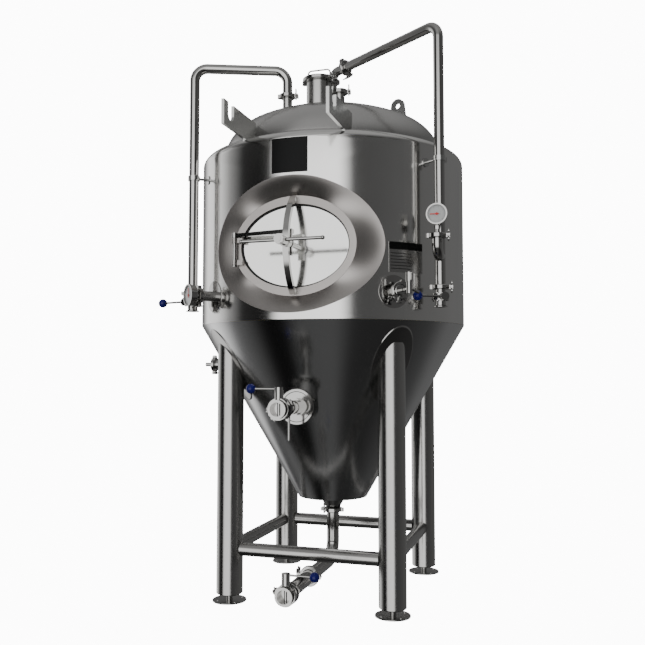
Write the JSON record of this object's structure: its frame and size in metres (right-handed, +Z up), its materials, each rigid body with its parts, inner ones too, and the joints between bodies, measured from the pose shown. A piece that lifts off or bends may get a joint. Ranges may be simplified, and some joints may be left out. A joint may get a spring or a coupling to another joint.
{
  "type": "conical fermenter",
  "caption": "Jacketed stainless conical fermenter on legs, with a shadowless side manway, blow-off and cleaning arms, racking arm, dump line and butterfly valves.",
  "frame": {"origin": "on the tank axis at floor level, the centre of the foot anchors", "axes": "+Z up along the tank axis, -Y towards the manway, +X to the right seen from the manway side"},
  "size_m": [1.1405, 1.2722, 2.1785],
  "materials": {
    "vessel_steel": "satin polished head",
    "jacket_steel": "brushed",
    "cone_steel": "satin",
    "coolant_steel": "mill finish",
    "foam": "rigid foam",
    "manway_steel": "satin",
    "door_steel": "mirror polished",
    "seal_rubber": "moulded",
    "leg_steel": "polished tube",
    "plate_steel": "satin plate",
    "plate_finish": "gloss",
    "needle_red": "enamel",
    "knob_blue": "gloss",
    "polished_steel": "mirror polished"
  },
  "bodies": {
    "root": {"inner_vessel": "vessel_steel", "cooling_jackets": "coolant_steel", "insulation_foam": "foam", "jacket_shell": "jacket_steel", "cone_cladding": "cone_steel", "manway_collar": "manway_steel", "manway_neck": "manway_steel", "manway_hinge_pin": "polished_steel", "manway_swing_arm": "polished_steel", "leg_front_left": "leg_steel", "leg_front_right": "leg_steel", "leg_rear_left": "leg_steel", "leg_rear_right": "leg_steel", "leg_crossbars": "leg_steel", "levelling_feet": "leg_steel", "name_plates": "plate_finish", "ladder_hooks": "plate_steel", "lifting_lugs": "plate_steel", "hop_port_lid": "polished_steel", "gas_arm_pipe": "polished_steel", "cip_arm_pipe": "polished_steel", "cip_elbow": "polished_steel", "spray_ball": "polished_steel", "arm_brackets": "plate_steel", "clamp_bands": "polished_steel", "clamp_wing_nuts": "polished_steel", "port_gaskets": "seal_rubber", "port_caps": "polished_steel", "escutcheons": "polished_steel", "racking_gland": "polished_steel", "dump_pipe": "polished_steel", "sample_valve_body": "polished_steel", "thermometer": "polished_steel", "pressure_gauge": "polished_steel", "gas_valve_body": "polished_steel", "cip_valve_body": "polished_steel", "dump_valve_body": "polished_steel"},
    "manway_handle": {"manway_handle": "polished_steel"},
    "manway_door_set": {"manway_door": "door_steel", "manway_gasket": "seal_rubber", "manway_spindle": "polished_steel"},
    "manway_yoke": {"manway_yoke": "polished_steel"},
    "racking_arm": {"racking_arm": "polished_steel", "racking_clamp": "polished_steel", "racking_valve_body": "polished_steel"},
    "thermometer_needle": {"thermometer_needle": "needle_red"},
    "pressure_gauge_needle": {"pressure_gauge_needle": "needle_red"},
    "sample_valve_knob": {"sample_valve_knob": "polished_steel"},
    "gas_valve_lever": {"gas_valve_disc": "polished_steel", "gas_valve_handle": "polished_steel", "gas_valve_knob": "knob_blue"},
    "cip_valve_lever": {"cip_valve_disc": "polished_steel", "cip_valve_handle": "polished_steel", "cip_valve_knob": "knob_blue"},
    "racking_valve_lever": {"racking_valve_disc": "polished_steel", "racking_valve_handle": "polished_steel", "racking_valve_knob": "knob_blue"},
    "dump_valve_lever": {"dump_valve_disc": "polished_steel", "dump_valve_handle": "polished_steel", "dump_valve_knob": "knob_blue"}
  },
  "joints": [
    {"name": "manway_handle_turn", "type": "hinge", "parent": "root", "child": "manway_handle", "pos_m": [0, -0.62, 1.328], "axis": [0, -1, 0], "range_deg": [0, 1800]},
    {"name": "manway_door_slide", "type": "slide", "parent": "root", "child": "manway_door_set", "axis": [0, 1, 0], "range_m": [0, 0.02]},
    {"name": "manway_yoke_turn", "type": "hinge", "parent": "root", "child": "manway_yoke", "pos_m": [0, -0.56, 1.328], "axis": [0, -1, 0], "range_deg": [-40, 40]},
    {"name": "racking_arm_turn", "type": "hinge", "parent": "root", "child": "racking_arm", "pos_m": [0, -0.5, 0.748], "axis": [0, -1, 0], "continuous": true},
    {"name": "gas_valve_turn", "type": "hinge", "parent": "root", "child": "gas_valve_lever", "pos_m": [-0.44589, -0.40148, 1.14], "axis": [-0.309, -0.9511, 0], "range_deg": [0, 90]},
    {"name": "cip_valve_turn", "type": "hinge", "parent": "root", "child": "cip_valve_lever", "pos_m": [0.50406, -0.33999, 1.14], "axis": [0.4695, -0.8829, 0], "range_deg": [0, 90]},
    {"name": "racking_valve_turn", "type": "hinge", "parent": "racking_arm", "child": "racking_valve_lever", "pos_m": [0, -0.635, 0.748], "axis": [0, 0, 1], "range_deg": [0, 90]},
    {"name": "dump_valve_turn", "type": "hinge", "parent": "root", "child": "dump_valve_lever", "pos_m": [0, -0.563, 0.112], "axis": [0, 0, -1], "range_deg": [0, 90]},
    {"name": "thermometer_needle_turn", "type": "hinge", "parent": "root", "child": "thermometer_needle", "pos_m": [-0.41395, -0.48811, 1.16], "axis": [-0.6468, -0.7627, 0], "range_deg": [-135, 135]},
    {"name": "pressure_needle_turn", "type": "hinge", "parent": "root", "child": "pressure_gauge_needle", "pos_m": [0.50406, -0.41199, 1.428], "axis": [0, 1, 0], "range_deg": [-45, 225]},
    {"name": "sample_valve_turn", "type": "hinge", "parent": "root", "child": "sample_valve_knob", "pos_m": [0.42155, -0.49707, 1.158], "axis": [0, 0, 1], "range_deg": [0, 360]}
  ],
  "couplings": [
    {"joint": "manway_door_slide", "follows": "manway_handle_turn", "m_per_rad": 0.000636}
  ]
}
